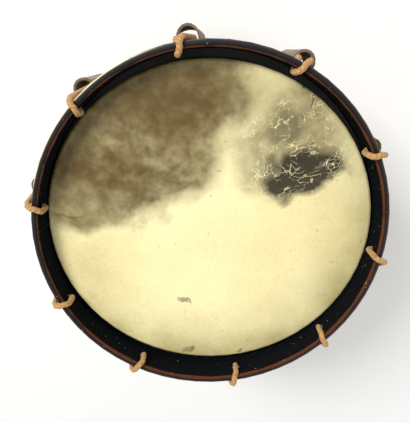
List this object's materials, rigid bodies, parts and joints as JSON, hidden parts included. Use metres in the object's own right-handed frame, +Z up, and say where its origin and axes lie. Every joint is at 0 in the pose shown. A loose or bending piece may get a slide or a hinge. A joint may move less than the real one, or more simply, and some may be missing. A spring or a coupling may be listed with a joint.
{
  "type": "rope-tension side drum",
  "caption": "Rope-tensioned drum: brass shell, calfskin heads, black wooden counterhoops laced with hemp rope and sliding leather tugs.",
  "frame": {"origin": "centre of the bottom of the overall box, at the height of the flats under the bottom rope loops; the drum's axis is 5.4 mm towards -X of it", "axes": "+Z up along the drum's axis, from the bottom head to the batter head; +X towards the slack tug"},
  "size_m": [0.4444, 0.4298, 0.3339],
  "materials": {
    "brass": "rolled sheet brass, dull with age",
    "skin": "calfskin parchment, scraped and stained",
    "ash": "bare steam-bent ash",
    "paint": "black paint on bent ash, worn at the edges",
    "rope": "three-strand laid hemp rope",
    "leather": "pale buff leather"
  },
  "bodies": {
    "drum": {"shell": "brass", "vent_eyelet": "brass", "batter_head": "skin", "bottom_head": "skin", "batter_flesh_hoop": "ash", "bottom_flesh_hoop": "ash", "batter_counterhoop": "paint", "bottom_counterhoop": "paint", "tension_rope": "rope"},
    "sleeve_01": {"tug_01": "leather"},
    "sleeve_02": {"tug_02": "leather"},
    "sleeve_03": {"tug_03": "leather"},
    "sleeve_04": {"tug_04": "leather"},
    "sleeve_05": {"tug_05": "leather"},
    "sleeve_06": {"tug_06": "leather"},
    "sleeve_07": {"tug_07": "leather"},
    "sleeve_08": {"tug_08": "leather"},
    "sleeve_09": {"tug_09": "leather"},
    "sleeve_10": {"tug_10": "leather"}
  },
  "joints": [
    {"name": "slide_01", "type": "slide", "parent": "drum", "child": "sleeve_01", "axis": [0, 0, -1], "range_m": [0, 0.04]},
    {"name": "slide_02", "type": "slide", "parent": "drum", "child": "sleeve_02", "axis": [0, 0, -1], "range_m": [0, 0.04]},
    {"name": "slide_03", "type": "slide", "parent": "drum", "child": "sleeve_03", "axis": [0, 0, -1], "range_m": [0, 0.04]},
    {"name": "slide_04", "type": "slide", "parent": "drum", "child": "sleeve_04", "axis": [0, 0, -1], "range_m": [0, 0.04]},
    {"name": "slide_05", "type": "slide", "parent": "drum", "child": "sleeve_05", "axis": [0, 0, -1], "range_m": [0, 0.04]},
    {"name": "slide_06", "type": "slide", "parent": "drum", "child": "sleeve_06", "axis": [0, 0, -1], "range_m": [0, 0.04]},
    {"name": "slide_07", "type": "slide", "parent": "drum", "child": "sleeve_07", "axis": [0, 0, -1], "range_m": [0, 0.04]},
    {"name": "slide_08", "type": "slide", "parent": "drum", "child": "sleeve_08", "axis": [0, 0, -1], "range_m": [0, 0.04]},
    {"name": "slide_09", "type": "slide", "parent": "drum", "child": "sleeve_09", "axis": [0, 0, -1], "range_m": [0, 0.04]},
    {"name": "slide_10", "type": "slide", "parent": "drum", "child": "sleeve_10", "axis": [0, 0, -1], "range_m": [0, 0.04]}
  ]
}
